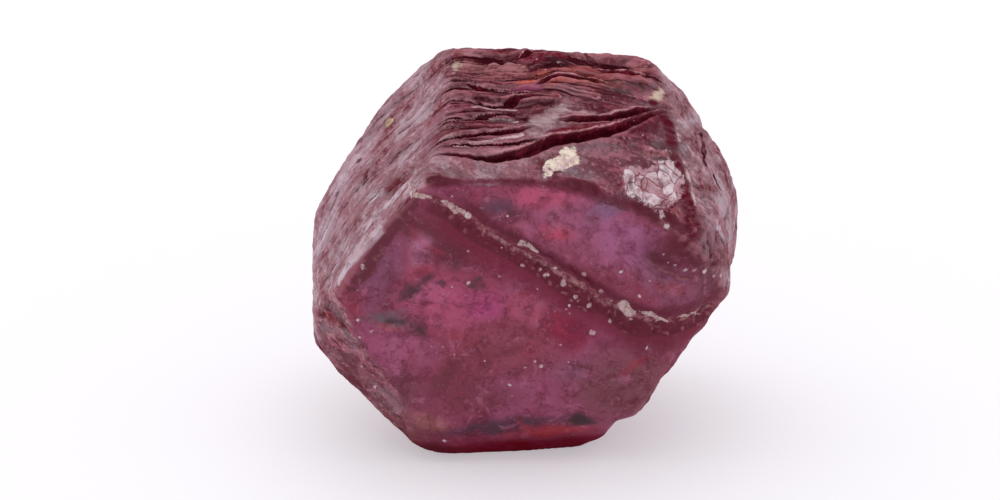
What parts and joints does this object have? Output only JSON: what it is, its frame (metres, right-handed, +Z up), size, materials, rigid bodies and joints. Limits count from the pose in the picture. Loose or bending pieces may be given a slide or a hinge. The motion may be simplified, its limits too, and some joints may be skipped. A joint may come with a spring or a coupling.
{
  "type": "rough sapphire crystal",
  "caption": "Rough barrel-shaped sapphire crystal with a flat front face, a diagonal ledge, a laminated top and a flat foot to rest on.",
  "frame": {"origin": "centre of the foot's plane, under the middle of the bounding box", "axes": "-Y looks out of the big front face, +X runs to the stone's right as seen from the front, +Z is up from the foot"},
  "size_m": [0.0122, 0.0098, 0.011],
  "materials": {
    "sapphire": "frosted, slightly see-through"
  },
  "bodies": {
    "root": {"sapphire_crystal": "sapphire"}
  },
  "joints": []
}
